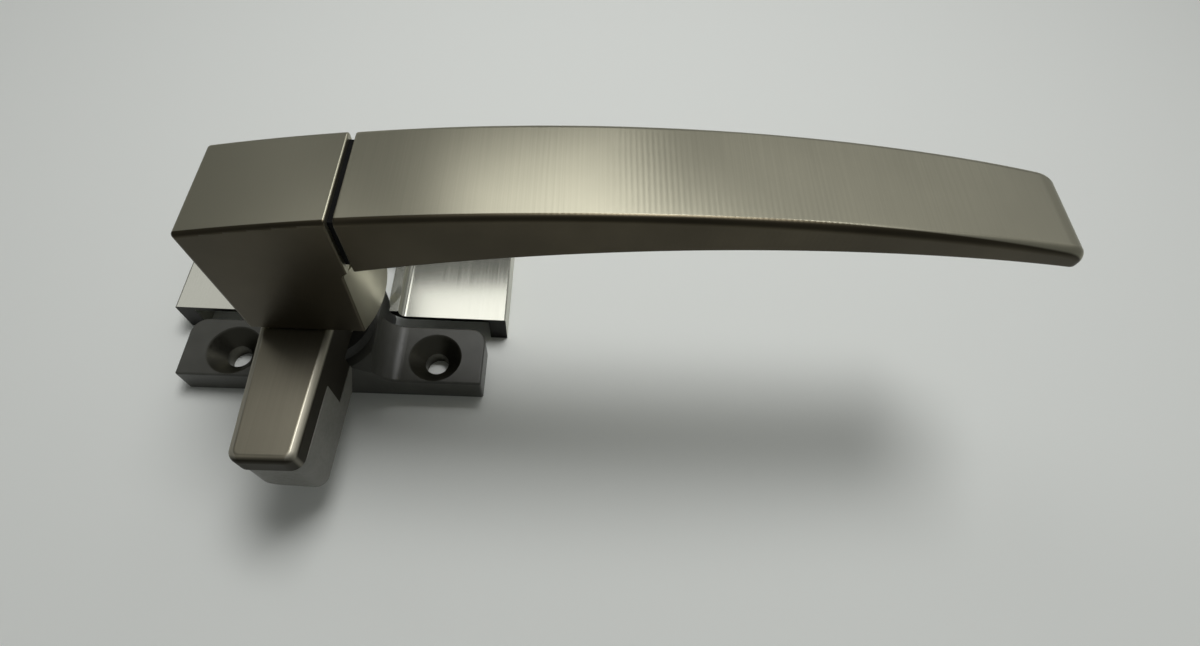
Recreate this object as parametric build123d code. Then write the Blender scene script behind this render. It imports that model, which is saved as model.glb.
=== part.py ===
from build123d import *
import math
import os

# Window cam handle, in millimetres. +X runs along the lever in the closed position, +Y points away from the
# window frame and +Z away from the sash. The origin is midway between the two fixing holes, on the mounting face.

# Clearances, how far a cut runs past the face it opens, and how closely an edge is matched to a position
moving_clearance = 0.3
running_clearance = 0.05
running_gap = 0.1
seat_clearance = 0.02
overrun = 1.0
match_slack = 0.01

# Base: two ears with countersunk holes and a raised centre around the pivot
hole_spacing = 38.0
hole_d = 4.5
countersink_d = 10.2
base_length = 56.6
ear_thickness = 6.0
ear_front = 5.4
ear_back = 6.7
ear_corner_r = 3.0
pivot_y = 2.9
centre_width = 17.0
centre_back = 9.7
centre_height = 11.5
centre_fillet_r = 4.6
centre_corner_r = 1.0
base_edge_r = 0.4

# Base cover: a thin shell that slides over the base, with a U-shaped slot and a collar around the raised centre
cover_thickness = 1.0
cover_end_wall = 3.4
cover_back_wall = 1.6
cover_back_margin = 0.2
cover_edge_r = 0.35
slot_clearance = 0.9
collar_width = 1.8
collar_lip = 0.2
collar_fillet_r = 1.2
cover_travel = 13.6

# Spindle and what it carries under the base
spindle_d = 8.0
spindle_flats = 6.8
spindle_in_hub = 14.5
spindle_land = 0.7
bush_wall = 1.5
bush_flange_d = 14.4
bush_flange_thickness = 0.8
thrust_washer_d = 17.0
thrust_washer_thickness = 2.9
recess_d = 12.4
stop_washer_thickness = 1.1
stop_tab_reach = 1.5
stop_tab_angle = 30.0
stop_gap_angle = 2.5
turn_angle = 90.0
spring_height = 0.9
spring_thickness = 0.5
retaining_washer_thickness = 0.8
ring_thickness = 0.8
ring_width = 1.8
ring_groove_depth = 0.8
ring_opening = 4.0

# Nose: an arm around the spindle, with a wedge pad screwed to its underside
nose_boss_d = 12.4
nose_boss_height = 1.4
nose_ring_d = 14.4
nose_ring_height = 8.7
nose_drop = 0.4
nose_reach = 30.4
nose_root_width = 11.8
nose_tip_width = 10.0
nose_corner_r = 2.0
nose_edge_r = 1.2
nose_cap_thickness = 4.2
nose_heel_reach = 16.2
nose_heel_depth = 11.3
nose_heel_gap = 0.5
pad_proud = 0.15
pad_low_z = 9.5
pad_flat_rise = 1.3
pad_ramp_rise = 2.4
pad_ramp_width = 3.8
pad_knee_r = 4.0
pad_back_chamfer = 3.2

# Handle: pivot block, black spacer and arched lever under one long arc
hub_left = 8.15
hub_left_draft = 0.75
hub_right = 12.75
hub_width = 16.5
hub_side_inset = 0.85
hub_side_draft = 0.7
hub_side_bow = 2.0
hub_side_edge_r = 0.4
hub_edge_r = 0.7
gap_width = 1.05
gap_edge_r = 0.25
spacer_recess = 0.9
lever_tip = 115.8
lever_tip_width = 15.0
lever_tip_bulge = 1.0
lever_side_bow = 0.4
lever_tip_corner_r = 1.7
lever_top_edge_r = 1.1
lever_under_edge_r = 0.6
arch_x = 66.0
arch_top = 57.8
arch_r = 324.0
under_x = 84.8
under_drop = 5.4
under_r = 254.0
tenon_length = 8.0
tenon_width = 9.0
tenon_height = 6.0
tenon_rise = 2.4

# Screws
screw_play = 0.2
socket_depth = 1.6
lever_screw_x = 7.9
lever_screw_d = 3.0
lever_screw_head_d = 5.5
lever_screw_head_height = 3.0
lever_screw_sunk = 0.6
lever_screw_bite = 4.5
lever_screw_socket = 2.5
set_screw_d = 5.0
set_screw_height = 7.6
set_screw_sunk = 0.5
set_screw_socket = 2.5
pad_screw_setback = 7.9
pad_screw_d = 3.0
pad_screw_head_d = 5.5
pad_screw_head_height = 2.4
pad_screw_grip = 5.2
pad_screw_bite = 2.8
pad_screw_socket = 2.0

# Levels that follow from the stack on the spindle, from the base upwards
flange_top = centre_height + bush_flange_thickness
washer_top = flange_top + thrust_washer_thickness
nose_bottom = washer_top + running_gap
ring_bottom = nose_bottom + nose_boss_height
hub_bottom = ring_bottom + nose_ring_height
nose_top = hub_bottom - nose_drop
cap_bottom = nose_top - nose_cap_thickness
heel_bottom = nose_top - nose_heel_depth
heel_start = thrust_washer_d / 2 + nose_heel_gap
spindle_top = hub_bottom + spindle_in_hub

# Levels in the recess under the base, from the spindle's end upwards
spindle_end = moving_clearance
clip_bottom = spindle_end + spindle_land
clip_top = clip_bottom + ring_thickness
retainer_top = clip_top + retaining_washer_thickness
spring_top = retainer_top + spring_height
stop_top = spring_top + stop_washer_thickness
recess_top = stop_top + running_gap
under_washer_d = recess_d - 2 * moving_clearance

# Cover levels and reaches, with the cover flush on the base
cover_under = ear_thickness + moving_clearance
cover_top = cover_under + cover_thickness
cover_inner = base_length / 2 + moving_clearance
cover_outer = cover_inner + cover_end_wall
slot_half = centre_width / 2 + slot_clearance
slot_end = pivot_y + centre_back + slot_clearance
slot_corner_r = centre_corner_r + slot_clearance
slot_fillet_r = centre_fillet_r - slot_clearance
collar_top = cover_under + slot_fillet_r + collar_lip
collar_foot = max(collar_width + collar_fillet_r, slot_fillet_r)
cover_back = slot_end + collar_foot + cover_back_margin + cover_back_wall

# The lever's root and underside, and the pad screw's place under the nose
lever_root = hub_right + gap_width
under_top = arch_top - under_drop
pad_screw_reach = nose_reach - pad_screw_setback
bush_d = spindle_d + 2 * bush_wall
at_pivot = Pos(0, pivot_y, 0)


def block(x0, x1, y0, y1, z0, z1):
    """A plain block between two corners."""
    return Pos((x0 + x1) / 2, (y0 + y1) / 2, (z0 + z1) / 2) * Box(x1 - x0, y1 - y0, z1 - z0)


def rod(diameter, z0, z1, x=0.0, y=0.0):
    """An upright round bar from z0 to z1."""
    return Pos(x, y, (z0 + z1) / 2) * Cylinder(diameter / 2, z1 - z0)


def flatted_rod(diameter, across, z0, z1):
    """An upright bar with two flats that face +Y and -Y."""
    return rod(diameter, z0, z1) & block(-diameter, diameter, -across / 2, across / 2, z0, z1)


def rod_along_y(diameter, y0, y1, z):
    """A round bar along Y at height z."""
    return Pos(0, (y0 + y1) / 2, z) * Rot(90, 0, 0) * Cylinder(diameter / 2, y1 - y0)


def hex_socket(across, z0, z1):
    """A six-sided socket for a key."""
    return Pos(0, 0, z0) * extrude(RegularPolygon(across / math.sqrt(3), 6), z1 - z0)


def along_y(outline, y0, y1):
    """Extrude an outline drawn as (x, z) from y0 to y1."""
    return Pos(0, y1, 0) * extrude(Plane.XZ * make_face(outline), y1 - y0)


def upright(outline, z0, z1):
    """Extrude an outline drawn as (x, y) from z0 to z1."""
    return Pos(0, 0, z0) * extrude(make_face(outline), z1 - z0)


def edges_at(edges, axis, value):
    """Those edges whose centre lies at a value on an axis."""
    return edges.filter_by_position(axis, value - match_slack, value + match_slack)


def arc_height(x, centre_x, top, radius):
    """Height of a long arc over x."""
    return top - radius + math.sqrt(radius ** 2 - (x - centre_x) ** 2)


def arch(x):
    """Height of the arc along the top of hub and lever."""
    return arc_height(x, arch_x, arch_top, arch_r)


def underside(x):
    """Height of the arc along the lever's underside."""
    return arc_height(x, under_x, under_top, under_r)


def arc_between(x0, x1, height):
    """The stretch of a long arc from x0 to x1, drawn as (x, z)."""
    middle = (x0 + x1) / 2
    return ThreePointArc((x0, height(x0)), (middle, height(middle)), (x1, height(x1)))


def pie(radius, first, sweep, z0, z1):
    """A sector of a disc around the spindle, from the angle first through sweep degrees."""
    rim = CenterArc((0, 0), radius, first, sweep)
    outline = Line((0, 0), rim @ 0) + rim + Line(rim @ 1, (0, 0))
    return upright(outline, z0, z1)


def swing_relief():
    """Room for the chamfered heel of the wedge pad as the nose swings past, a ring around the pivot."""
    low = pad_low_z - moving_clearance
    high = flange_top
    slant = heel_start + pad_back_chamfer + pad_low_z - moving_clearance * math.sqrt(2)
    rim = nose_reach
    section = Polyline((slant - low, low), (rim, low), (rim, high), (slant - high, high), close=True)
    return revolve(Plane.XZ * make_face(section), Axis.Z)


# Base and what is fixed in it


def base_outline():
    """Section of the base across its ears: flat ears that sweep up into the raised centre."""
    half = base_length / 2
    wall = centre_width / 2
    foot = wall + centre_fillet_r
    shoulder = ear_thickness + centre_fillet_r
    bow = centre_fillet_r * math.sqrt(0.5)
    right_sweep = ThreePointArc((foot, ear_thickness), (foot - bow, shoulder - bow), (wall, shoulder))
    left_sweep = ThreePointArc((-wall, shoulder), (bow - foot, shoulder - bow), (-foot, ear_thickness))
    right_ear = Polyline((-half, 0), (half, 0), (half, ear_thickness), (foot, ear_thickness))
    crown = Polyline((wall, shoulder), (wall, centre_height), (-wall, centre_height), (-wall, shoulder))
    left_ear = Polyline((-foot, ear_thickness), (-half, ear_thickness), (-half, 0))
    return right_ear + right_sweep + crown + left_sweep + left_ear


def stop_arc():
    """Arc-shaped part of the recess, in which the stop washer's tab travels."""
    first = 180 - turn_angle / 2 - stop_tab_angle / 2 - stop_gap_angle
    sweep = turn_angle + stop_tab_angle + 2 * stop_gap_angle
    return pie(recess_d / 2 + stop_tab_reach, first, sweep, -overrun, recess_top)


def base_rim(body):
    """Upper edges of the ears, and those of the front face around them."""
    foot = centre_width / 2 + centre_fillet_r + match_slack
    half = base_length / 2 + match_slack
    tops = edges_at(body.edges(), Axis.Z, ear_thickness)
    ears = tops.filter_by_position(Axis.X, foot, half) + tops.filter_by_position(Axis.X, -half, -foot)
    front = body.faces().sort_by(Axis.Y)[0].edges()
    ends = front.filter_by_position(Axis.Z, match_slack, ear_thickness - match_slack)
    sweeps = front.filter_by_position(Axis.Z, ear_thickness + match_slack, centre_height + match_slack)
    return ears + ends + sweeps


def make_base():
    """Die-cast base with its screw holes, bush bore and the recess under the pivot."""
    body = along_y(base_outline(), -ear_front, ear_back)
    ends = edges_at(body.edges().filter_by(Axis.Z), Axis.Z, ear_thickness / 2)
    body = fillet(edges_at(ends, Axis.Y, ear_back), ear_corner_r)
    body = fillet(base_rim(body), base_edge_r)
    wall = centre_width / 2
    tail_end = pivot_y + centre_back
    tail = block(-wall, wall, 0, tail_end, 0, centre_height)
    tail = fillet(edges_at(tail.edges().filter_by(Axis.Z), Axis.Y, tail_end), centre_corner_r)
    body = body + tail
    sink = (countersink_d - hole_d) / 2
    for x in (-hole_spacing / 2, hole_spacing / 2):
        body = body - rod(hole_d, -overrun, ear_thickness, x)
        body = body - Pos(x, 0, ear_thickness - sink / 2) * Cone(hole_d / 2, countersink_d / 2, sink)
    bore = rod(bush_d + 2 * seat_clearance, 0, centre_height + overrun)
    recess = rod(recess_d, -overrun, recess_top) + stop_arc()
    ahead = block(-nose_reach, nose_reach, -nose_reach, 0, 0, flange_top)
    return body - at_pivot * (bore + recess) - at_pivot * (swing_relief() & ahead)


def make_pivot_bush():
    """Flanged bush pressed into the base, in which the spindle turns."""
    bush = rod(bush_d, recess_top, flange_top) + rod(bush_flange_d, centre_height, flange_top)
    return bush - rod(spindle_d + 2 * running_clearance, recess_top - overrun, flange_top + overrun)


def make_thrust_washer():
    """Thick washer on the bush's flange, which carries the nose."""
    hole = rod(spindle_d + 2 * running_clearance, flange_top - overrun, washer_top + overrun)
    return rod(thrust_washer_d, flange_top, washer_top) - hole


# Base cover


def slot_outline(grow, front):
    """Plan of the cover's slot, open towards the front, grown outwards by a wall."""
    half = slot_half + grow
    end = slot_end + grow
    corner = slot_corner_r + grow
    bow = corner * (1 - math.sqrt(0.5))
    right = Line((half, front), (half, end - corner))
    right_turn = ThreePointArc((half, end - corner), (half - bow, end - bow), (half - corner, end))
    back = Line((half - corner, end), (corner - half, end))
    left_turn = ThreePointArc((corner - half, end), (bow - half, end - bow), (-half, end - corner))
    left = Polyline((-half, end - corner), (-half, front), (half, front))
    return right + right_turn + back + left_turn + left


def slot_edges(shape, z, grow):
    """Edges around the slot, or around its collar, at height z."""
    half = slot_half + grow + match_slack
    around = edges_at(shape.edges(), Axis.Z, z).filter_by_position(Axis.X, -half, half)
    return around.filter_by_position(Axis.Y, match_slack - ear_front, slot_end + grow + match_slack)


def make_base_cover():
    """Sliding cover, pushed back from the base by its travel."""
    shell = block(-cover_outer, cover_outer, -ear_front, cover_back, 0, cover_top)
    inside_back = cover_back - cover_back_wall
    shell = shell - block(-cover_inner, cover_inner, -ear_front - overrun, inside_back, -overrun, cover_under)
    rims = edges_at(shell.edges(), Axis.Z, cover_top)
    ends = edges_at(rims, Axis.X, cover_outer) + edges_at(rims, Axis.X, -cover_outer)
    shell = fillet(ends + edges_at(rims, Axis.Y, cover_back), cover_edge_r)
    shell = shell + upright(slot_outline(collar_width, -ear_front), cover_under, collar_top)
    shell = fillet(slot_edges(shell, cover_top, collar_width), collar_fillet_r)
    shell = shell - upright(slot_outline(0, -ear_front - overrun), -overrun, collar_top + overrun)
    shell = fillet(slot_edges(shell, cover_under, 0), slot_fillet_r)
    return Pos(0, cover_travel, 0) * (shell - at_pivot * swing_relief())


# Handle


def hub_outline():
    """Side view of the pivot block under the long arc: its left half, and its head up to the lever."""
    side = hub_right - hub_side_inset
    shelf = underside(hub_right)
    neck = shelf - hub_side_inset
    bow = hub_side_inset * math.sqrt(0.5)
    left_foot = (hub_left_draft - hub_left, hub_bottom)
    foot = Polyline((-hub_left, arch(-hub_left)), left_foot, (0, hub_bottom), (0, neck), (side, neck))
    step = ThreePointArc((side, neck), (hub_right - bow, neck + bow), (hub_right, shelf))
    gap_side = Line((hub_right, shelf), (hub_right, arch(hub_right)))
    return foot + step + gap_side + arc_between(hub_right, -hub_left, arch)


def bowed_plan(side, z):
    """Right half of the pivot block's plan at height z, with a softly bowed side."""
    half = hub_width / 2
    bowed = ThreePointArc((side, -half), (side + hub_side_bow, 0), (side, half))
    return Pos(0, 0, z) * make_face(bowed + Polyline((side, half), (0, half), (0, -half), (side, -half)))


def hub_side():
    """Right half of the pivot block under its head, with a bowed side that leans in towards the foot."""
    side = hub_right - hub_side_inset
    neck = underside(hub_right) - hub_side_inset
    half = loft([bowed_plan(side - hub_side_draft, hub_bottom), bowed_plan(side, neck)], ruled=True)
    corners = half.edges().filter_by_position(Axis.X, side - hub_side_draft, side)
    return fillet(corners.filter_by_position(Axis.Z, hub_bottom + overrun, neck - overrun), hub_side_edge_r)


def tenon(grow):
    """Tenon of the lever that reaches through the spacer into the hub."""
    low = underside(lever_root) + tenon_rise
    half = tenon_width / 2 + grow
    start = hub_right - tenon_length - grow
    return block(start, lever_root, -half, half, low - grow, low + tenon_height + grow)


def make_handle_hub():
    """Pivot block with the spindle's socket, the tenon's pocket and its screw holes."""
    half = hub_width / 2
    body = along_y(hub_outline(), -half, half)
    left_end = body.faces().sort_by(Axis.X)[0].edges().sort_by(Axis.Z)[1:]
    long_arcs = body.edges().filter_by(GeomType.CIRCLE).sort_by(SortBy.RADIUS)[-2:]
    body = fillet(left_end + long_arcs, hub_edge_r)
    body = fillet(body.faces().sort_by(Axis.X)[-1].edges().sort_by(Axis.Z)[1:], gap_edge_r)
    body = body + hub_side()
    socket_d = spindle_d + 2 * seat_clearance
    socket_flats = spindle_flats + 2 * seat_clearance
    body = body - flatted_rod(socket_d, socket_flats, hub_bottom - overrun, spindle_top + seat_clearance)
    body = body - tenon(seat_clearance)
    head_d = lever_screw_head_d + 2 * screw_play
    head_top = hub_bottom + lever_screw_sunk + lever_screw_head_height
    body = body - rod(head_d, hub_bottom - overrun, head_top, lever_screw_x)
    shank_d = lever_screw_d + 2 * screw_play
    body = body - rod(shank_d, head_top, underside(lever_root) + tenon_rise + overrun, lever_screw_x)
    set_z = hub_bottom + set_screw_height
    return body - rod_along_y(set_screw_d + 2 * seat_clearance, 0, half + overrun, set_z)


def free_edges(face):
    """Edges of a long face of the lever, without the one at its root."""
    return face.edges().filter_by_position(Axis.X, lever_root + overrun, lever_tip + overrun)


def lever_plan():
    """Plan of the lever: slightly tapered, with softly bowed sides and end."""
    root = hub_width / 2
    tip = lever_tip_width / 2
    shoulder = lever_tip - lever_tip_bulge
    middle = (lever_root + shoulder) / 2
    bow = (root + tip) / 2 + lever_side_bow
    end = ThreePointArc((shoulder, -tip), (lever_tip, 0), (shoulder, tip))
    back = ThreePointArc((shoulder, tip), (middle, bow), (lever_root, root))
    front = ThreePointArc((lever_root, -root), (middle, -bow), (shoulder, -tip))
    return end + back + Line((lever_root, root), (lever_root, -root)) + front


def make_handle_lever():
    """Arched lever, thick at its root and thin at its tip, with the tenon that goes into the hub."""
    past_tip = lever_tip + overrun
    top = arc_between(past_tip, lever_root, arch)
    root = Line((lever_root, arch(lever_root)), (lever_root, underside(lever_root)))
    end = Line((past_tip, underside(past_tip)), (past_tip, arch(past_tip)))
    outline = top + root + arc_between(lever_root, past_tip, underside) + end
    body = along_y(outline, -hub_width, hub_width) & upright(lever_plan(), 0, arch_top + overrun)
    corners = body.edges().filter_by(Axis.Z).filter_by_position(Axis.X, lever_root + overrun, past_tip)
    body = fillet(corners, lever_tip_corner_r)
    under_face, top_face = body.faces().filter_by(GeomType.CYLINDER).sort_by(SortBy.AREA)[-2:].sort_by(Axis.Z)
    body = fillet(free_edges(top_face), lever_top_edge_r)
    under_face = body.faces().filter_by(GeomType.CYLINDER).sort_by(SortBy.AREA)[-2:].sort_by(Axis.Z)[0]
    body = fillet(free_edges(under_face), lever_under_edge_r)
    body = fillet(body.faces().sort_by(Axis.X)[0].edges(), gap_edge_r)
    low = underside(lever_root) + tenon_rise
    thread = rod(lever_screw_d + 2 * seat_clearance, low - overrun, low + lever_screw_bite, lever_screw_x)
    return body + tenon(0) - thread


def make_lever_spacer():
    """Black spacer around the tenon, set back from the faces of hub and lever."""
    half = hub_width / 2 - spacer_recess
    low = underside(lever_root) + spacer_recess
    high = arch(hub_right) - spacer_recess
    return block(hub_right, lever_root, -half, half, low, high) - tenon(seat_clearance)


# Nose and its wedge pad


def nose_half_width(reach, grow):
    """Half the nose's width at a reach ahead of the pivot."""
    share = (reach - hub_width / 2) / (nose_reach - hub_width / 2)
    return (nose_root_width + share * (nose_tip_width - nose_root_width)) / 2 + grow


def nose_slab(start, end, z0, z1, grow=0.0):
    """A slice of the tapered nose between two reaches ahead of the pivot."""
    back = nose_half_width(start, grow)
    front = nose_half_width(end, grow)
    outline = Polyline((-back, -start), (back, -start), (front, -end), (-front, -end), close=True)
    return upright(outline, z0, z1)


def front_corners(slab, reach):
    """The two upright edges at the nose's tip."""
    return edges_at(slab.edges().filter_by(Axis.Z), Axis.Y, -reach)


def make_cam_nose():
    """Nose arm: a ring on the spindle, a deep heel and a cap that reaches out over the wedge pad."""
    cap = nose_slab(0, nose_reach, cap_bottom, nose_top)
    cap = fillet(front_corners(cap, nose_reach), nose_corner_r)
    rim = edges_at(cap.edges(), Axis.Z, nose_top).filter_by_position(Axis.Y, -nose_reach - overrun, -overrun)
    cap = fillet(rim, nose_edge_r)
    heel = nose_slab(heel_start, nose_heel_reach, heel_bottom, cap_bottom)
    web = nose_slab(0, heel_start, ring_bottom, cap_bottom)
    ring = rod(nose_ring_d, ring_bottom, hub_bottom)
    boss = rod(nose_boss_d, nose_bottom, ring_bottom)
    body = cap + heel + web + ring + boss
    socket_d = spindle_d + 2 * seat_clearance
    socket_flats = spindle_flats + 2 * seat_clearance
    body = body - flatted_rod(socket_d, socket_flats, nose_bottom - overrun, hub_bottom + overrun)
    thread_top = cap_bottom + pad_screw_bite + seat_clearance
    thread = rod(pad_screw_d + 2 * seat_clearance, cap_bottom - overrun, thread_top, 0, -pad_screw_reach)
    return body - thread


def pad_underside():
    """What the pad's ramp leaves open below it, drawn as (x, z): a steep lead-in and a gentle slope."""
    half = nose_root_width / 2 + pad_proud
    knee = (pad_ramp_width - half, pad_low_z + pad_flat_rise)
    lead = (-half, knee[1] + pad_ramp_rise)
    below = pad_low_z - pad_flat_rise - overrun
    line = FilletPolyline((half, pad_low_z), knee, lead, radius=pad_knee_r)
    return line + Polyline(lead, (-half, below), (half, below), (half, pad_low_z))


def make_wedge_pad():
    """Wedge under the nose: thin on the side that enters first, thick on the other."""
    tip = nose_reach - nose_edge_r / 2
    pad = nose_slab(heel_start, tip, pad_low_z - pad_flat_rise, cap_bottom, pad_proud)
    pad = fillet(front_corners(pad, tip), nose_corner_r)
    half = nose_root_width
    pad = pad - block(-half, half, -nose_heel_reach, 0, heel_bottom, cap_bottom + overrun)
    pad = pad - along_y(pad_underside(), -nose_reach - overrun, 0)
    chamfer_top = pad_low_z + pad_back_chamfer
    toe = Polyline(
        (-heel_start - pad_back_chamfer, pad_low_z),
        (-heel_start + overrun, chamfer_top + overrun),
        (-heel_start + overrun, pad_low_z - pad_flat_rise - overrun),
        (-heel_start - pad_back_chamfer - pad_flat_rise - overrun, pad_low_z - pad_flat_rise - overrun),
        close=True,
    )
    pad = pad - Pos(-half, 0, 0) * extrude(Plane.YZ * make_face(toe), 2 * half)
    seat = cap_bottom - pad_screw_grip
    head_d = pad_screw_head_d + 2 * screw_play
    pad = pad - rod(head_d, 0, seat, 0, -pad_screw_reach)
    return pad - rod(pad_screw_d + 2 * screw_play, seat, cap_bottom + overrun, 0, -pad_screw_reach)


# Spindle and the stack under the base


def make_spindle():
    """Pivot shaft: flats in the hub and nose, round in the bush, flats again for the stop washer."""
    foot = flatted_rod(spindle_d, spindle_flats, spindle_end, recess_top)
    journal = rod(spindle_d, recess_top, nose_bottom)
    drive = flatted_rod(spindle_d, spindle_flats, nose_bottom, spindle_top)
    groove_d = spindle_d - 2 * ring_groove_depth
    groove = rod(2 * spindle_d, clip_bottom, clip_top) - rod(groove_d, clip_bottom, clip_top)
    return foot + journal + drive - groove


def make_stop_washer():
    """Washer keyed to the spindle, whose tab stops the handle at both ends of its turn."""
    first = 180 - turn_angle / 2 - stop_tab_angle / 2
    tab = pie(under_washer_d / 2 + stop_tab_reach, first, stop_tab_angle, spring_top, stop_top)
    disc = rod(under_washer_d, spring_top, stop_top) + tab
    hole_across = spindle_flats + 2 * seat_clearance
    return disc - flatted_rod(spindle_d + 2 * seat_clearance, hole_across, spring_top - overrun, stop_top + overrun)


def make_disc_spring():
    """Conical spring washer that presses the stack together and gives the handle its drag."""
    inner = spindle_d / 2 + running_gap
    outer = under_washer_d / 2
    section = Polyline(
        (inner, retainer_top),
        (outer, spring_top - spring_thickness),
        (outer, spring_top),
        (inner, retainer_top + spring_thickness),
        close=True,
    )
    return revolve(Plane.XZ * make_face(section), Axis.Z)


def make_retaining_washer():
    """Flat washer between the spring and the snap ring."""
    hole = rod(spindle_d + 2 * running_gap, clip_top - overrun, retainer_top + overrun)
    return rod(under_washer_d, clip_top, retainer_top) - hole


def make_retaining_ring():
    """Open snap ring in the spindle's groove."""
    inner_d = spindle_d - 2 * ring_groove_depth + 2 * seat_clearance
    outer_d = inner_d + 2 * ring_width
    ring = rod(outer_d, clip_bottom, clip_top) - rod(inner_d, clip_bottom - overrun, clip_top + overrun)
    half = ring_opening / 2
    return ring - block(-outer_d, 0, -half, half, clip_bottom - overrun, clip_top + overrun)


# Screws


def cap_screw(diameter, head_d, head_height, socket, head_bottom, tip):
    """Upright socket screw, head down, from the bottom of its head to its tip."""
    head_top = head_bottom + head_height
    screw = rod(head_d, head_bottom, head_top) + rod(diameter, head_top, tip)
    return screw - hex_socket(socket, head_bottom - overrun, head_bottom + socket_depth)


def make_lever_screw():
    """Cap screw from under the hub up into the lever's tenon."""
    tip = underside(lever_root) + tenon_rise + lever_screw_bite - screw_play
    head = hub_bottom + lever_screw_sunk
    screw = cap_screw(
        lever_screw_d, lever_screw_head_d, lever_screw_head_height, lever_screw_socket, head, tip
    )
    return Pos(lever_screw_x, 0, 0) * screw


def make_pad_screw():
    """Cap screw from under the wedge pad up into the nose."""
    head = cap_bottom - pad_screw_grip - pad_screw_head_height
    tip = cap_bottom + pad_screw_bite
    screw = cap_screw(pad_screw_d, pad_screw_head_d, pad_screw_head_height, pad_screw_socket, head, tip)
    return Pos(0, -pad_screw_reach, 0) * screw


def make_hub_set_screw():
    """Grub screw in the back of the hub, against the spindle's flat."""
    start = spindle_flats / 2
    end = hub_width / 2 - set_screw_sunk
    length = end - start
    screw = rod(set_screw_d, 0, length) - hex_socket(set_screw_socket, length - socket_depth, length + overrun)
    return Pos(0, start, hub_bottom + set_screw_height) * Rot(-90, 0, 0) * screw


parts = {
    "base": make_base(),
    "base_cover": make_base_cover(),
    "pivot_bush": at_pivot * make_pivot_bush(),
    "thrust_washer": at_pivot * make_thrust_washer(),
    "spindle": at_pivot * make_spindle(),
    "stop_washer": at_pivot * make_stop_washer(),
    "disc_spring": at_pivot * make_disc_spring(),
    "retaining_washer": at_pivot * make_retaining_washer(),
    "retaining_ring": at_pivot * make_retaining_ring(),
    "cam_nose": at_pivot * make_cam_nose(),
    "wedge_pad": at_pivot * make_wedge_pad(),
    "pad_screw": at_pivot * make_pad_screw(),
    "handle_hub": at_pivot * make_handle_hub(),
    "hub_set_screw": at_pivot * make_hub_set_screw(),
    "lever_spacer": at_pivot * make_lever_spacer(),
    "handle_lever": at_pivot * make_handle_lever(),
    "lever_screw": at_pivot * make_lever_screw(),
}

os.makedirs("parts", exist_ok=True)
for node, shape in parts.items():
    export_step(shape, f"parts/{node}.step")
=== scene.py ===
# %% [markdown]
# # Window cam handle
# This lesson dresses a finished CAD model of a window cam handle: a brushed lever on a square pivot block,
# a nose with a wedge pad that swings below the block, a grey cast base, and a thin cover that slides over
# the base to hide its screw holes. The CAD model already has exact shapes, so the work here is the finish
# of every surface, a lever whose edges are softer than the CAD lever's, and a camera and lamps that match
# the photograph of the handle.

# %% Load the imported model
import math

import bpy
from mathutils import Matrix, Vector


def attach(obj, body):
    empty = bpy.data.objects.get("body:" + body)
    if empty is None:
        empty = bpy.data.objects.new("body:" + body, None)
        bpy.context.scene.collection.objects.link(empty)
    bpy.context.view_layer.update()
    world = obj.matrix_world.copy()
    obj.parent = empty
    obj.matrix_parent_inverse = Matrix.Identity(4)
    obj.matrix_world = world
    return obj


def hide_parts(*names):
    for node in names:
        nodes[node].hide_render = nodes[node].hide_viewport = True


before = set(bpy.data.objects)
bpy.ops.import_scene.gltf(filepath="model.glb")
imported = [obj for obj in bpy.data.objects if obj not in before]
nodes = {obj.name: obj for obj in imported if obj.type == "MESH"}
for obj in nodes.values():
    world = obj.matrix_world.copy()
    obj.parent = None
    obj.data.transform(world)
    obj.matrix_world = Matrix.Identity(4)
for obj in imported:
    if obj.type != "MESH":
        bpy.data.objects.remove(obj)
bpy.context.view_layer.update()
MM = 0.001

# %% [markdown]
# ## Camera
# The handle was photographed from close by with a wide lens, so the near lever looks much larger than the
# base. A camera can be aimed with a constraint, but a written tilt, turn and roll keep exactly the view
# that was measured, and nothing else in the scene can change it.

# %% Camera at the photograph's place
camera_place = Vector((43.41, -56.27, 119.32)) * MM
tilt_from_below = math.radians(90 - 59.77)
turn_to_right = math.radians(-6.69)
roll = math.radians(8.21)
lens_on_full_frame = 19.2

camera_data = bpy.data.cameras.new("photo_camera")
camera_data.lens = lens_on_full_frame
camera_data.sensor_width = 36
camera_data.clip_start = 0.001
camera = bpy.data.objects.new("photo_camera", camera_data)
bpy.context.scene.collection.objects.link(camera)
turn = Matrix.Rotation(turn_to_right, 4, "Z") @ Matrix.Rotation(tilt_from_below, 4, "X")
camera.matrix_world = Matrix.Translation(camera_place) @ turn @ Matrix.Rotation(roll, 4, "Z")
bpy.context.scene.camera = camera
print("camera looks along", [round(x, 3) for x in camera.matrix_world.to_3x3() @ Vector((0, 0, -1))])

# %% [markdown]
# ## Floor and light
# Brushed metal shows its surroundings more than its own colour, so each lamp has one job. A soft lamp
# overhead lights the floor and casts the shadow under the lever. A small lamp close behind the handle is
# the one that the lever mirrors as a bright band, and the cover as a bright sheet. A lamp on the left does
# the same for the cover's left end. Two wide, weak lamps, on the right and at the rear, give the lever's
# far end and the top faces something pale to mirror. The world is a dim even grey, which is what the
# darker faces reflect.

# %% Floor, lamps and world
scene = bpy.context.scene
scene.view_settings.view_transform = "Standard"


def plain_material(name, colour, roughness):
    """A material with one colour all over, for the floor."""
    material = bpy.data.materials.new(name)
    material.use_nodes = True
    shader = material.node_tree.nodes["Principled BSDF"]
    shader.inputs["Base Color"].default_value = (*colour, 1)
    shader.inputs["Roughness"].default_value = roughness
    return material


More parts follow.
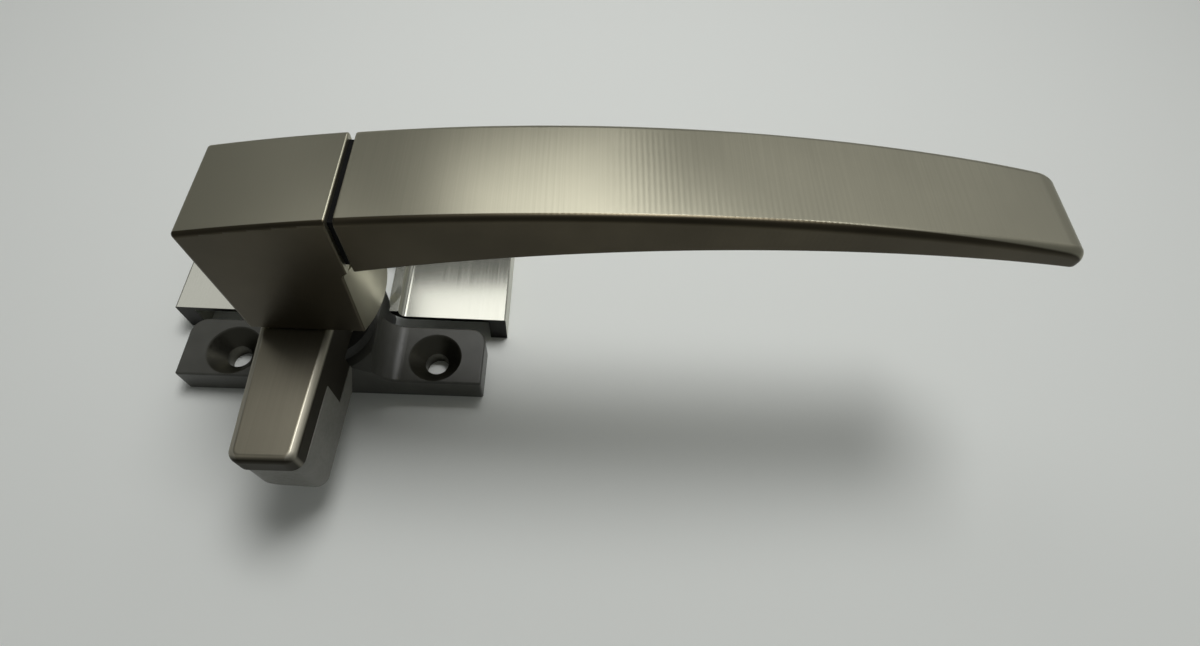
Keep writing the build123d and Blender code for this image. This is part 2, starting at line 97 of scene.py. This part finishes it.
floor_half = 1.5
floor_colour = (0.82, 0.84, 0.81)
floor_roughness = 0.9
floor_mesh = bpy.data.meshes.new("floor")
corners = [(-1, -1), (1, -1), (1, 1), (-1, 1)]
floor_mesh.from_pydata([(x * floor_half, y * floor_half, 0) for x, y in corners], [], [(0, 1, 2, 3)])
floor_mesh.materials.append(plain_material("pale_floor", floor_colour, floor_roughness))
floor = bpy.data.objects.new("floor", floor_mesh)
scene.collection.objects.link(floor)

room_grey = (0.125, 0.128, 0.123)
world = bpy.data.worlds.new("dim_room")
world.use_nodes = True
world.node_tree.nodes["Background"].inputs["Color"].default_value = (*room_grey, 1)
scene.world = world


def soft_lamp(name, aim, azimuth, elevation, distance, width, height, brightness):
    """A rectangular lamp that faces a point; azimuth 0 is +Y, angles in degrees, lengths in metres."""
    data = bpy.data.lights.new(name, "AREA")
    data.shape = "RECTANGLE"
    data.size = width
    data.size_y = height
    data.energy = brightness * math.pi * width * height
    lamp = bpy.data.objects.new(name, data)
    a, e = math.radians(azimuth), math.radians(elevation)
    away = Vector((math.sin(a) * math.cos(e), math.cos(a) * math.cos(e), math.sin(e)))
    lamp.location = aim + away * distance
    lamp.rotation_euler = (-away).to_track_quat("-Z", "Y").to_euler()
    lamp.visible_camera = False
    scene.collection.objects.link(lamp)
    return lamp


handle_middle = Vector((40, 5, 40)) * MM
lever_root = Vector((22, 5, 40)) * MM
base_left = Vector((-20, 5, 12)) * MM
lamps = [
    soft_lamp("overhead_lamp", handle_middle, azimuth=30, elevation=73, distance=0.45,
              width=0.19, height=0.19, brightness=10.5),
    soft_lamp("back_lamp", lever_root, azimuth=-4, elevation=60, distance=0.173,
              width=0.092, height=0.074, brightness=1.5),
    soft_lamp("left_lamp", base_left, azimuth=-47, elevation=47, distance=0.5,
              width=0.12, height=0.12, brightness=0.64),
    soft_lamp("right_lamp", handle_middle, azimuth=46, elevation=32, distance=0.8,
              width=0.82, height=0.42, brightness=0.3),
    soft_lamp("rear_lamp", handle_middle, azimuth=-12, elevation=22, distance=0.9,
              width=1.1, height=0.36, brightness=0.16),
]
for lamp in lamps:
    print(lamp.name, "stands at", [round(x, 2) for x in lamp.location])

# %% [markdown]
# ## Writing finishes as nodes
# Every finish below is a Principled shader whose colour, roughness and bump come from noise on Object
# coordinates, which stay with a piece when a joint moves it. Where a colour differs from face to face, the
# surface's own direction tells the faces apart: that is how shade is painted on faces that look forward or
# sideways, and a highlight on the nose's edges. A small class keeps the node trees short: each call adds
# one node and returns the socket that the next one needs.


# %% Helper for material nodes
class Finish:
    """A node material for one real finish, built up call by call."""

    def __init__(self, name, metallic):
        self.material = bpy.data.materials.new(name)
        self.material.use_nodes = True
        self.tree = self.material.node_tree
        self.shader = self.tree.nodes["Principled BSDF"]
        self.shader.inputs["Metallic"].default_value = metallic
        self.place = self.tree.nodes.new("ShaderNodeTexCoord")

    def link(self, source, target):
        """Join a socket to an input, or set a plain value on it."""
        if isinstance(source, bpy.types.NodeSocket):
            self.tree.links.new(source, target)
        else:
            target.default_value = source

    def noise(self, stretch, detail, seed=0.0):
        """Stretched noise: each number is how many grains fit in a metre along X, Y and Z."""
        mapping = self.tree.nodes.new("ShaderNodeMapping")
        mapping.inputs["Scale"].default_value = stretch
        mapping.inputs["Location"].default_value = (seed, seed, seed)
        self.tree.links.new(self.place.outputs["Object"], mapping.inputs["Vector"])
        noise = self.tree.nodes.new("ShaderNodeTexNoise")
        noise.inputs["Scale"].default_value = 1
        noise.inputs["Detail"].default_value = detail
        self.tree.links.new(mapping.outputs["Vector"], noise.inputs["Vector"])
        return noise.outputs["Fac"]

    def waves(self, pitch, wobble):
        """Even bands along X at a pitch in metres, with a slight wobble."""
        node = self.tree.nodes.new("ShaderNodeTexWave")
        node.bands_direction = "X"
        node.inputs["Scale"].default_value = math.pi / (10 * pitch)
        node.inputs["Distortion"].default_value = wobble
        node.inputs["Detail"].default_value = 1
        node.inputs["Detail Scale"].default_value = 0.3
        self.tree.links.new(self.place.outputs["Object"], node.inputs["Vector"])
        return node.outputs["Fac"]

    def spread(self, socket, low, high, to_low=0.0, to_high=1.0):
        """Map a range of values to another, clamped."""
        node = self.tree.nodes.new("ShaderNodeMapRange")
        for name, value in zip(("From Min", "From Max", "To Min", "To Max"), (low, high, to_low, to_high)):
            node.inputs[name].default_value = value
        self.tree.links.new(socket, node.inputs["Value"])
        return node.outputs["Result"]

    def blend(self, share, first, second):
        """Mix two colours by a share from 0 to 1."""
        node = self.tree.nodes.new("ShaderNodeMix")
        node.data_type = "RGBA"
        self.link(share, node.inputs["Factor"])
        colours = [socket for socket in node.inputs if socket.type == "RGBA"]
        for value, socket in zip((first, second), colours):
            self.link(value if isinstance(value, bpy.types.NodeSocket) else (*value, 1), socket)
        return next(socket for socket in node.outputs if socket.type == "RGBA")

    def math(self, operation, first, second=0.0):
        """One Math node."""
        node = self.tree.nodes.new("ShaderNodeMath")
        node.operation = operation
        self.link(first, node.inputs[0])
        self.link(second, node.inputs[1])
        return node.outputs["Value"]

    def facing(self, axis, start, end, to_start=0.0, to_end=1.0, both_ways=False):
        """A value that goes from one number to another as the surface turns towards an axis."""
        split = self.tree.nodes.new("ShaderNodeSeparateXYZ")
        self.tree.links.new(self.place.outputs["Normal"], split.inputs["Vector"])
        turned = split.outputs[axis]
        if both_ways:
            turned = self.math("ABSOLUTE", turned)
        return self.spread(turned, start, end, to_start, to_end)

    def place_along(self, axis):
        """A point's place along one axis, in metres."""
        split = self.tree.nodes.new("ShaderNodeSeparateXYZ")
        self.tree.links.new(self.place.outputs["Object"], split.inputs["Vector"])
        return split.outputs[axis]

    def brush_direction(self, axis, strength):
        """Stretch the gloss around an axis, across the brush marks."""
        node = self.tree.nodes.new("ShaderNodeTangent")
        node.direction_type = "RADIAL"
        node.axis = axis
        self.tree.links.new(node.outputs["Tangent"], self.shader.inputs["Tangent"])
        self.shader.inputs["Anisotropic"].default_value = strength

    def bump(self, height, strength, depth):
        """Fine relief from a height."""
        node = self.tree.nodes.new("ShaderNodeBump")
        node.inputs["Strength"].default_value = strength
        node.inputs["Distance"].default_value = depth
        self.tree.links.new(height, node.inputs["Height"])
        self.tree.links.new(node.outputs["Normal"], self.shader.inputs["Normal"])

    def colour(self, socket):
        """Give the shader its colour."""
        self.link(socket, self.shader.inputs["Base Color"])

    def roughness(self, socket):
        """Give the shader its roughness."""
        self.link(socket, self.shader.inputs["Roughness"])


print("finish helper ready")

# %% [markdown]
# ## Brushed nickel
# Lever, pivot block and nose are brushed nickel, with fine lines across the lever's top. Their front and
# side faces are painted darker, as shade, and the pivot block's and the nose's tops are painted darker than
# the lever's, as shade. The nose's rounded top edges are painted paler, as a highlight. A picture of
# brushed metal would repeat and stretch, so the lines are noise squeezed along the lever and drawn out
# across it. A second, larger noise gives the faint cloudiness that handling leaves. The lever's crown also
# has even ripples, such as
# a chattering belt leaves: they are a wave in the bump.

# %% Where the nickel changes
brush_line_width = 0.25 * MM
brush_line_length = 30 * MM
handling_clouds = (70, 70, 70)
chatter_pitch = 0.75 * MM
chatter_in = (35 * MM, 42 * MM)
chatter_out = (74 * MM, 92 * MM)
# Towards the lever's tip the painted front shade starts further round the front edge.
front_shade_eases_along = (70 * MM, 112 * MM)
front_shade_eases_most = 0.75
# Tilts at which the painted edge highlight, the painted side shade and the edge gloss begin.
edge_highlight_tilt = (0.1, 0.2)
side_shade_tilt = (0.8, 0.95)
top_tilt = (0.955, 0.985)
print("chatter ripples:", round((chatter_out[1] - chatter_in[0]) / chatter_pitch))


# %% Brushed nickel
def shades(colour, low, high):
    """A darker and a paler shade of one colour."""
    return [low * c for c in colour], [high * c for c in colour]


def nickel_colour(finish, grain, colours, front_shade_turn):
    """Brushed top colour, painted shade on sides and front, painted highlight on edges; front shade eases
    to the tip.
    """
    clouds = finish.noise(handling_clouds, detail=3, seed=5.0)
    cloud_share = finish.spread(clouds, 0.35, 0.65)
    faint_share = finish.spread(clouds, 0.35, 0.65, 0.0, 0.5)
    handled, _ = shades(colours["top"], 0.86, 1)
    brushed = finish.blend(finish.spread(grain, 0.3, 0.7), *shades(colours["top"], 0.95, 1.05))
    clouded = finish.blend(faint_share, brushed, handled)
    # Painted shade: the sides and the front take darker colours than the top.
    shaded_side = finish.blend(cloud_share, *shades(colours["side"], 0.9, 1.1))
    shaded_front = finish.blend(cloud_share, *shades(colours["front"], 0.88, 1.12))
    # Painted highlight: the rounded edges take the edge colour, which on the lever and block is the top's
    # own.
    edge_highlight = finish.blend(finish.facing("X", *edge_highlight_tilt, both_ways=True), clouded, colours["edge"])
    turned = finish.facing("Y", -1.0, 1.0, -1.0, 1.0)
    # The painted front shade eases off towards the lever's tip.
    softer = finish.spread(finish.place_along("X"), *front_shade_eases_along, 0.0, front_shade_eases_most)
    in_front_shade = finish.spread(finish.math("ADD", turned, softer), *front_shade_turn)
    front_shaded = finish.blend(in_front_shade, shaded_front, edge_highlight)
    return finish.blend(finish.facing("X", *side_shade_tilt, both_ways=True), front_shaded, shaded_side)


def chatter_ripples(finish):
    """Even ripples across the lever that fade in and out along it."""
    fade_in = finish.spread(finish.place_along("X"), *chatter_in)
    fade_out = finish.spread(finish.place_along("X"), *chatter_out, 1.0, 0.0)
    there = finish.math("MULTIPLY", fade_in, fade_out)
    return finish.math("MULTIPLY", finish.waves(chatter_pitch, wobble=0.8), there)


def brushed_nickel(name, colours, roughness, edge_roughness, front_shade_turn, ripple_depth):
    """Warm nickel, brushed along Y on top."""
    finish = Finish(name, 1.0)
    grain = finish.noise((1 / brush_line_width, 1 / brush_line_length, 1 / brush_line_length), detail=2)
    finish.colour(nickel_colour(finish, grain, colours, front_shade_turn))
    grain_gloss = finish.spread(grain, 0.25, 0.75, -0.005, 0.005)
    face_gloss = finish.facing("Z", *top_tilt, edge_roughness, roughness)
    finish.roughness(finish.math("ADD", face_gloss, grain_gloss))
    finish.bump(chatter_ripples(finish), strength=1.0, depth=ripple_depth)
    finish.brush_direction("Y", strength=0.3)
    return finish.material


# The front and side colours are painted shade; the edge colour is the top's own here.
handle_colours = {
    "top": (0.44, 0.422, 0.325),
    "front": (0.075, 0.064, 0.043),
    "side": (0.36, 0.342, 0.262),
    "edge": (0.44, 0.422, 0.325),
}
# The pivot block's top is painted darker than the lever's, as shade.
hub_shaded_colours = {**handle_colours, "top": (0.37, 0.355, 0.275)}
# Nose: top painted darker and front and sides near black, as shade; edges painted paler, as a highlight.
nose_shaded_highlit_colours = {
    "top": (0.31, 0.286, 0.22),
    "front": (0.04, 0.036, 0.027),
    "side": (0.04, 0.036, 0.027),
    "edge": (0.42, 0.4, 0.33),
}
# How far round the front edge the painted front shade begins: crisply on lever and block, roundly on the
# nose.
crisp_front_shade = (-0.13, -0.01)
round_front_shade = (-0.75, -0.4)
lever_ripple = 0.006 * MM
faint_ripple = 0.0006 * MM
lever_nickel = brushed_nickel("lever_nickel", handle_colours, roughness=0.28, edge_roughness=0.4,
                              front_shade_turn=crisp_front_shade, ripple_depth=lever_ripple)
hub_shaded_nickel = brushed_nickel("hub_shaded_nickel", hub_shaded_colours, roughness=0.28, edge_roughness=0.4,
                            front_shade_turn=crisp_front_shade, ripple_depth=faint_ripple)
nose_shaded_highlit_nickel = brushed_nickel("nose_shaded_highlit_nickel", nose_shaded_highlit_colours, roughness=0.34, edge_roughness=0.6,
                             front_shade_turn=round_front_shade, ripple_depth=faint_ripple)
print("nickel finishes:", lever_nickel.name, hub_shaded_nickel.name, nose_shaded_highlit_nickel.name)

# %% [markdown]
# ## Base, cover and plastics
# The base is a grey painted casting: a fine orange-peel skin with a soft gloss, cut through to dark bare
# metal in the two countersinks. The cover is thin sheet with a bright, very fine brush, duller on its
# walls; its front edge is painted dark, as shade. The wedge pad and the thrust washer are moulded in grey
# nylon, which has a slight cloudy grain; the washer is painted near black, as the shade under the pivot
# block. The spacer in the gap is black, and its near-black colour also stands for the shade deep in the
# gap. Each could be one flat colour, but a little noise in colour, gloss and relief is what tells paint,
# sheet and plastic apart.

# %% Painted casting
screw_hole_x = 19.0 * MM
countersink_r = 5.1 * MM
countersink_rim = 0.3 * MM
dark_paint = (0.06, 0.06, 0.052)
pale_paint = (0.078, 0.078, 0.068)
bare_metal = (0.1, 0.097, 0.079)
paint_shine = 0.32
orange_peel = (2600, 2600, 2600)
paint_clouds = (180, 180, 180)


def past_countersinks(finish):
    """1 on the painted skin and 0 inside the two countersinks, by the distance from the nearer hole."""
    across = finish.math("SUBTRACT", finish.math("ABSOLUTE", finish.place_along("X")), screw_hole_x)
    along = finish.place_along("Y")
    across_squared = finish.math("MULTIPLY", across, across)
    along_squared = finish.math("MULTIPLY", along, along)
    from_hole = finish.math("SQRT", finish.math("ADD", across_squared, along_squared))
    return finish.spread(from_hole, countersink_r - countersink_rim, countersink_r)


def painted_casting():
    """Dark grey paint over a cast skin, with bare dark metal in the two countersinks."""
    finish = Finish("painted_casting", 0.0)
    peel = finish.noise(orange_peel, detail=3)
    clouds = finish.noise(paint_clouds, detail=2, seed=3.0)
    paint = finish.blend(finish.spread(clouds, 0.3, 0.7), dark_paint, pale_paint)
    painted = past_countersinks(finish)
    finish.colour(finish.blend(painted, bare_metal, paint))
    finish.link(finish.math("SUBTRACT", 1.0, painted), finish.shader.inputs["Metallic"])
    finish.shader.inputs["Specular IOR Level"].default_value = paint_shine
    finish.roughness(finish.spread(peel, 0.3, 0.7, 0.28, 0.38))
    finish.bump(peel, strength=0.12, depth=0.02 * MM)
    return finish.material


casting = painted_casting()
print("casting:", casting.name, "with countersinks", round(2 * countersink_r / MM, 1), "mm wide")

# %% Bright cover and moulded plastics
dark_sheet = (0.56, 0.56, 0.49)
pale_sheet = (0.6, 0.6, 0.53)
# Painted shade for the cover's forward-facing faces.
painted_front_shade = (0.02, 0.02, 0.018)
sheet_lines = (4200, 90, 90)
nylon_grain = (1500, 1500, 1500)
nylon_clouds = (220, 220, 220)
spacer_shine = 0.1


def bright_cover():
    """Pale satin sheet, brushed finely from front to back, with painted shade on its forward-facing faces.
    """
    finish = Finish("bright_cover", 1.0)
    lines = finish.noise(sheet_lines, detail=3, seed=2.0)
    sheet = finish.blend(finish.spread(lines, 0.3, 0.7), dark_sheet, pale_sheet)
    # Faces that look forward take the painted shade.
    finish.colour(finish.blend(finish.facing("Y", -0.9, -0.5), painted_front_shade, sheet))
    line_gloss = finish.spread(lines, 0.25, 0.75, 0.12, 0.16)
    dull_walls = finish.facing("Z", 0.5, 0.9, 0.25, 0.0)
    finish.roughness(finish.math("ADD", line_gloss, dull_walls))
    finish.bump(lines, strength=0.05, depth=0.015 * MM)
    finish.brush_direction("Y", strength=0.3)
    return finish.material


def moulded_nylon(name, dark, pale, roughness):
    """Plastic with a faint cloudy grain."""
    finish = Finish(name, 0.0)
    grain = finish.noise(nylon_grain, detail=4, seed=1.0)
    clouds = finish.noise(nylon_clouds, detail=2, seed=7.0)
    finish.colour(finish.blend(finish.spread(clouds, 0.3, 0.7), dark, pale))
    finish.roughness(finish.spread(grain, 0.3, 0.7, roughness - 0.06, roughness + 0.06))
    finish.bump(grain, strength=0.15, depth=0.02 * MM)
    return finish.material


cover_sheet = bright_cover()
pad_nylon = moulded_nylon("pad_nylon", (0.135, 0.133, 0.115), (0.17, 0.167, 0.145), roughness=0.42)
# The washer's near-black colour is painted shade: it sits in the shadow under the pivot block.
washer_nylon_shaded = moulded_nylon("washer_nylon_shaded", (0.022, 0.022, 0.02), (0.03, 0.03, 0.027), roughness=0.5)
bush_acetal = moulded_nylon("bush_acetal", (0.06, 0.06, 0.06), (0.09, 0.09, 0.09), roughness=0.4)
# The spacer is black, and its colour is near pure black to stand for the shade deep in the gap as well.
black_spacer_and_gap_shade = moulded_nylon("black_spacer_and_gap_shade", (0.003, 0.003, 0.003), (0.005, 0.005, 0.005), roughness=0.7)
spacer_shader = black_spacer_and_gap_shade.node_tree.nodes["Principled BSDF"]
spacer_shader.inputs["Specular IOR Level"].default_value = spacer_shine
print("cover and plastics:", cover_sheet.name, pad_nylon.name, washer_nylon_shaded.name, bush_acetal.name)

# %% [markdown]
# ## Steel inside
# Spindle, screws and washers are turned or stamped steel. Turning leaves rings around the axis, and
# stamping an even grain, so one helper with a stretched noise serves both: bright zinc plate for spindle,
# screws and plain washers, and blackened spring steel for the spring, the snap ring and the set screw.

# %% Steel finishes
turning_rings = (120, 120, 5200)
steel_clouds = (300, 300, 300)


def turned_steel(name, dark, pale, roughness):
    """Steel with fine rings of turning around the upright axis."""
    finish = Finish(name, 1.0)
    rings = finish.noise(turning_rings, detail=2, seed=4.0)
    clouds = finish.noise(steel_clouds, detail=2, seed=9.0)
    finish.colour(finish.blend(finish.spread(clouds, 0.3, 0.7), dark, pale))
    finish.roughness(finish.spread(rings, 0.3, 0.7, roughness - 0.07, roughness + 0.07))
    finish.bump(rings, strength=0.1, depth=0.02 * MM)
    return finish.material


zinc_plate = turned_steel("zinc_plate", (0.5, 0.5, 0.5), (0.64, 0.64, 0.62), roughness=0.3)
spring_steel = turned_steel("spring_steel", (0.13, 0.13, 0.14), (0.2, 0.2, 0.21), roughness=0.38)

node_finish = {
    "base": casting,
    "base_cover": cover_sheet,
    "pivot_bush": bush_acetal,
    "thrust_washer": washer_nylon_shaded,
    "spindle": zinc_plate,
    "stop_washer": zinc_plate,
    "disc_spring": spring_steel,
    "retaining_washer": zinc_plate,
    "retaining_ring": spring_steel,
    "cam_nose": nose_shaded_highlit_nickel,
    "wedge_pad": pad_nylon,
    "pad_screw": zinc_plate,
    "handle_hub": hub_shaded_nickel,
    "hub_set_screw": spring_steel,
    "lever_spacer": black_spacer_and_gap_shade,
    "handle_lever": lever_nickel,
    "lever_screw": zinc_plate,
}
for node, material in node_finish.items():
    nodes[node].data.materials.clear()
    nodes[node].data.materials.append(material)
print("finished nodes:", len(node_finish))

# %% [markdown]
# ## The arched lever
# The lever follows a rule: its top and underside are two long arcs, its plan tapers with a slight bow, and
# its edges grow softer towards the tip. Modelling it by hand would take many loops that are hard to
# change, so a Geometry Nodes tree bends one grid into it: one way of the grid runs along the lever, the
# other goes once around its section. A small class turns written formulas into Math nodes.


# %% Formulas as Geometry Nodes
class Formula:
    """A field in a node tree, so that a shape's rule can be written as plain arithmetic."""

    def __init__(self, tree, socket):
        self.tree = tree
        self.socket = socket

    def step(self, operation, *others):
        """Add one Math node that works on this field and others."""
        node = self.tree.nodes.new("ShaderNodeMath")
        node.operation = operation
        for target, value in zip(node.inputs, (self, *others)):
            if isinstance(value, Formula):
                self.tree.links.new(value.socket, target)
            else:
                target.default_value = value
        return Formula(self.tree, node.outputs["Value"])

    def __add__(self, other):
        return self.step("ADD", other)

    def __sub__(self, other):
        return self.step("SUBTRACT", other)

    def __mul__(self, other):
        return self.step("MULTIPLY", other)

    def __truediv__(self, other):
        return self.step("DIVIDE", other)

    def least(self, other):
        """The smaller of two."""
        return self.step("MINIMUM", other)

    def most(self, other):
        """The larger of two."""
        return self.step("MAXIMUM", other)

    def root(self):
        """Square root, with nothing below zero."""
        return self.most(0.0).step("SQRT")

    def choose(self, if_one, if_zero):
        """One of two fields, by a field that is 1 or 0."""
        return if_zero + self * (if_one - if_zero)


def arc_height(x, centre_x, top, radius):
    """Height of a long arc over x."""
    run = x - centre_x
    return top - radius + (radius * radius - run * run).root()


def rounding(distance, radius):
    """How far a rounded end draws in at a distance from it."""
    rest = (radius - distance).most(0.0)
    return radius - (radius * radius - rest * rest).root()


print("formula helper ready")

# %% [markdown]
# The tree's inputs are the lever's real sizes in metres. Arcs, widths and tenon are the CAD lever's own;
# what differs is the top edge, which grows softer towards the tip, and the tip's end, which rounds down.
# The grid's stations crowd together at both ends, where the shape rounds off.

# %% Sizes of the lever
lever_sizes = {
    "Root X": 13.8 * MM,
    "Tip X": 115.8 * MM,
    "Middle Y": 2.9 * MM,
    "Root Half Width": 8.25 * MM,
    "Tip Half Width": 7.5 * MM,
    "Side Bow": 0.4 * MM,
    "Tip Bow": 1.0 * MM,
    "Arch X": 66.0 * MM,
    "Arch Top": 57.8 * MM,
    "Arch Radius": 324.0 * MM,
    "Underside X": 84.8 * MM,
    "Underside Top": 52.4 * MM,
    "Underside Radius": 254.0 * MM,
    "Root Edge Radius": 0.25 * MM,
    "Top Edge Radius": 0.9 * MM,
    "Top Edge Radius At Tip": 1.5 * MM,
    "Under Edge Radius": 0.6 * MM,
    "Tip Corner Radius": 1.7 * MM,
    "Tip End Length": 4.0 * MM,
    "Tip End Drop": 2.4 * MM,
    "Tenon Start X": 4.75 * MM,
    "Tenon Sunk": 0.5 * MM,
    "Tenon Width": 9.0 * MM,
    "Tenon Height": 6.0 * MM,
    "Tenon Rise": 2.4 * MM,
}
lever_stations = 120
corner_points = 9
weld_distance = 0.002 * MM
tip_bow_start = 0.85
thinnest_share = 0.49
lever_length = lever_sizes["Tip X"] - lever_sizes["Root X"]
print("lever is", round(lever_length / MM, 1), "mm long, with", lever_stations, "stations")

# %% [markdown]
# One formula gives the place of every grid point: how far along the lever its station lies, how wide, high
# and low the lever is there, and where on the rounded section the point sits. The outermost ring at each
# end closes to a point, to cap the lever.


# %% One point of the lever
def lever_point(size, station, point):
    """Where one grid point lies on the lever: x along it, y across it and z up."""
    share = (station - 1.0).most(0.0).least(float(lever_stations)) / float(lever_stations)
    length = size["Tip X"] - size["Root X"]
    along = (share * math.pi).step("COSINE") * -0.5 + 0.5
    x = size["Root X"] + length * along
    from_tip = size["Tip X"] - x
    root_round = rounding(x - size["Root X"], size["Root Edge Radius"])
    end_drop = rounding(from_tip * size["Tip End Drop"] / size["Tip End Length"], size["Tip End Drop"])
    end_rise = rounding(from_tip, size["Under Edge Radius"])
    bow = size["Side Bow"] * (along - along * along) * 4.0
    half = size["Root Half Width"] + (size["Tip Half Width"] - size["Root Half Width"]) * along + bow
    half = half - rounding(from_tip, size["Tip Corner Radius"]) - root_round
    top = arc_height(x, size["Arch X"], size["Arch Top"], size["Arch Radius"]) - end_drop - root_round
    low = arc_height(x, size["Underside X"], size["Underside Top"], size["Underside Radius"])
    low = low + end_rise + root_round
    quarter = (point / float(corner_points)).step("FLOOR")
    turned = (point - quarter * float(corner_points)) / (corner_points - 1.0)
    angle = (turned + quarter) * (math.pi / 2)
    upper = quarter.step("LESS_THAN", 1.5)
    right = (quarter - 1.5).step("ABSOLUTE").step("GREATER_THAN", 1.0)
    soft_top = size["Top Edge Radius"]
    soft_top = soft_top + (size["Top Edge Radius At Tip"] - soft_top) * along * along
    edge = upper.choose(soft_top, size["Under Edge Radius"]).least((top - low) * thinnest_share)
    y = (half - edge) * (right * 2.0 - 1.0) + edge * angle.step("COSINE")
    z = upper.choose(top - edge, low + edge) + edge * angle.step("SINE")
    ring = station.step("GREATER_THAN", 0.5) * station.step("LESS_THAN", lever_stations + 1.5)
    middle = (top + low) * 0.5
    y = y * ring
    z = middle + (z - middle) * ring
    near_tip = ((along - tip_bow_start) / (1 - tip_bow_start)).most(0.0)
    across = y / size["Tip Half Width"]
    x = x - size["Tip Bow"] * near_tip * near_tip * across * across
    return x, y + size["Middle Y"], z


print("lever rule ready")

# %% [markdown]
# The tree sends every point of the grid to its place and welds the seam. A plain block joined on at the
# root is the tenon that goes into the pivot block. Realize Instances and Set Material come last, so that
# the result is one plain mesh with its finish.


# %% Geometry Nodes tree of the lever
def lever_tenon(tree, size):
    """The tenon at the lever's root, a plain block that goes through the spacer into the hub."""
    length = size["Root X"] + size["Tenon Sunk"] - size["Tenon Start X"]
    low = arc_height(size["Root X"], size["Underside X"], size["Underside Top"], size["Underside Radius"])
    middle_z = low + size["Tenon Rise"] + size["Tenon Height"] * 0.5
    cube = tree.nodes.new("GeometryNodeMeshCube")
    move = tree.nodes.new("GeometryNodeTransform")
    sides = (length, size["Tenon Width"], size["Tenon Height"])
    place = (size["Tenon Start X"] + length * 0.5, size["Middle Y"], middle_z)
    for values, target in ((sides, cube.inputs["Size"]), (place, move.inputs["Translation"])):
        join = tree.nodes.new("ShaderNodeCombineXYZ")
        for value, part in zip(values, join.inputs):
            tree.links.new(value.socket, part)
        tree.links.new(join.outputs["Vector"], target)
    tree.links.new(cube.outputs["Mesh"], move.inputs["Geometry"])
    return move.outputs["Geometry"]


def lever_tree(material):
    """A grid bent into the lever."""
    tree = bpy.data.node_groups.new("arched_lever", "GeometryNodeTree")
    tree.interface.new_socket("Lever", in_out="OUTPUT", socket_type="NodeSocketGeometry")
    for name in lever_sizes:
        tree.interface.new_socket(name, in_out="INPUT", socket_type="NodeSocketFloat")
    group_in = tree.nodes.new("NodeGroupInput")
    size = {name: Formula(tree, group_in.outputs[name]) for name in lever_sizes}
    around_points = 4 * corner_points
    grid = tree.nodes.new("GeometryNodeMeshGrid")
    grid.inputs["Size X"].default_value = 1
    grid.inputs["Size Y"].default_value = 1
    grid.inputs["Vertices X"].default_value = lever_stations + 3
    grid.inputs["Vertices Y"].default_value = around_points + 1
    split = tree.nodes.new("ShaderNodeSeparateXYZ")
    tree.links.new(tree.nodes.new("GeometryNodeInputPosition").outputs["Position"], split.inputs["Vector"])
    station = ((Formula(tree, split.outputs["X"]) + 0.5) * (lever_stations + 2.0)).step("ROUND")
    point = ((Formula(tree, split.outputs["Y"]) + 0.5) * float(around_points)).step("ROUND")
    x, y, z = lever_point(size, station, point.step("MODULO", float(around_points)))
    join = tree.nodes.new("ShaderNodeCombineXYZ")
    for value, target in zip((x, y, z), join.inputs):
        tree.links.new(value.socket, target)
    bend = tree.nodes.new("GeometryNodeSetPosition")
    tree.links.new(grid.outputs["Mesh"], bend.inputs["Geometry"])
    tree.links.new(join.outputs["Vector"], bend.inputs["Position"])
    both = tree.nodes.new("GeometryNodeJoinGeometry")
    tree.links.new(lever_tenon(tree, size), both.inputs["Geometry"])
    chain = [
        tree.nodes.new("GeometryNodeMergeByDistance"),
        tree.nodes.new("GeometryNodeSetShadeSmooth"),
        both,
        tree.nodes.new("GeometryNodeRealizeInstances"),
        tree.nodes.new("GeometryNodeSetMaterial"),
    ]
    chain[0].inputs["Distance"].default_value = weld_distance
    chain[-1].inputs["Material"].default_value = material
    last = bend
    for node in chain:
        tree.links.new(last.outputs["Geometry"], node.inputs["Geometry"])
        last = node
    tree.links.new(last.outputs["Geometry"], tree.nodes.new("NodeGroupOutput").inputs["Lever"])
    return tree


lever_group = lever_tree(lever_nickel)
print("lever tree has", len(lever_group.nodes), "nodes")

# %% [markdown]
# The modifier's inputs are set by their identifiers. The evaluated result becomes a plain mesh, so that it
# can ride on the handle's body like any other piece. A Weighted Normal modifier keeps the large faces flat
# in the light and lets only the rounded edges bend it.

# %% Make the lever
lever = bpy.data.objects.new("arched_lever", bpy.data.meshes.new("arched_lever"))
scene.collection.objects.link(lever)
modifier = lever.modifiers.new("arched_lever", "NODES")
modifier.node_group = lever_group
for socket in lever_group.interface.items_tree:
    if socket.in_out == "INPUT":
        modifier[socket.identifier] = lever_sizes[socket.name]
weighted = lever.modifiers.new("even_shading", "WEIGHTED_NORMAL")
weighted.weight = 100
bpy.context.view_layer.update()
evaluated = lever.evaluated_get(bpy.context.evaluated_depsgraph_get())
lever_mesh = bpy.data.meshes.new_from_object(evaluated)
lever.modifiers.clear()
lever.data = lever_mesh
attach(lever, "handle")
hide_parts("handle_lever")
print("lever:", len(lever_mesh.polygons), "faces")
